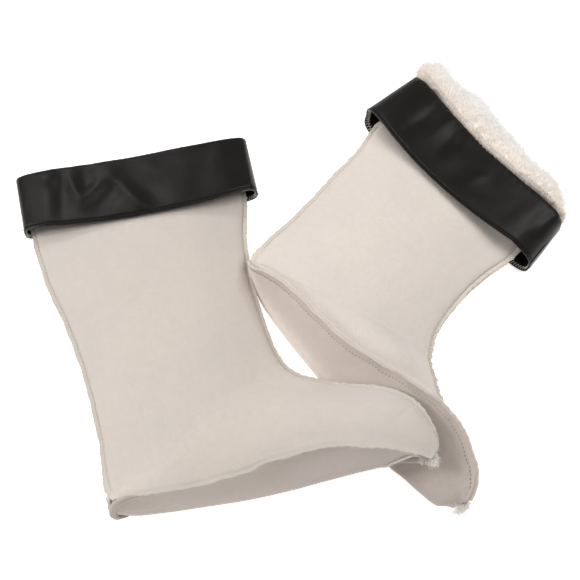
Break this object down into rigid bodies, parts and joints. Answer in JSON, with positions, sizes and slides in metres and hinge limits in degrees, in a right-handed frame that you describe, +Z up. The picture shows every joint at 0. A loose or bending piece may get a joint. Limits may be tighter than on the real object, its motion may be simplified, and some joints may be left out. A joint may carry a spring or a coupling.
{
  "type": "pair of boot liners",
  "caption": "Soft boot liners with fur lining and turned-down leather cuffs, lying on their sides with a toe resting across the other liner's sole.",
  "frame": {"origin": "centre of the pair's bounding box, on the surface that the liners lie on", "axes": "+Z up from the surface, +X along the pair's longest extent towards the second liner's cuff, +Y from the soles of the first liner towards the cuffs"},
  "size_m": [0.5002, 0.4356, 0.0714],
  "materials": {
    "felt": "matte brushed knit, warm off-white",
    "sole_cloth": "matte smooth cloth, pale taupe",
    "black_leather": "soft sheen, fine grain, black",
    "cream_fur": "short curly pile, cream"
  },
  "bodies": {
    "root": {"first_upper_panel": "felt", "first_lower_panel": "felt", "first_sole": "sole_cloth", "first_cuff": "black_leather", "first_mouth_fur": "cream_fur", "second_upper_panel": "felt", "second_lower_panel": "felt", "second_sole": "sole_cloth", "second_cuff": "black_leather", "second_mouth_fur": "cream_fur"}
  },
  "joints": []
}
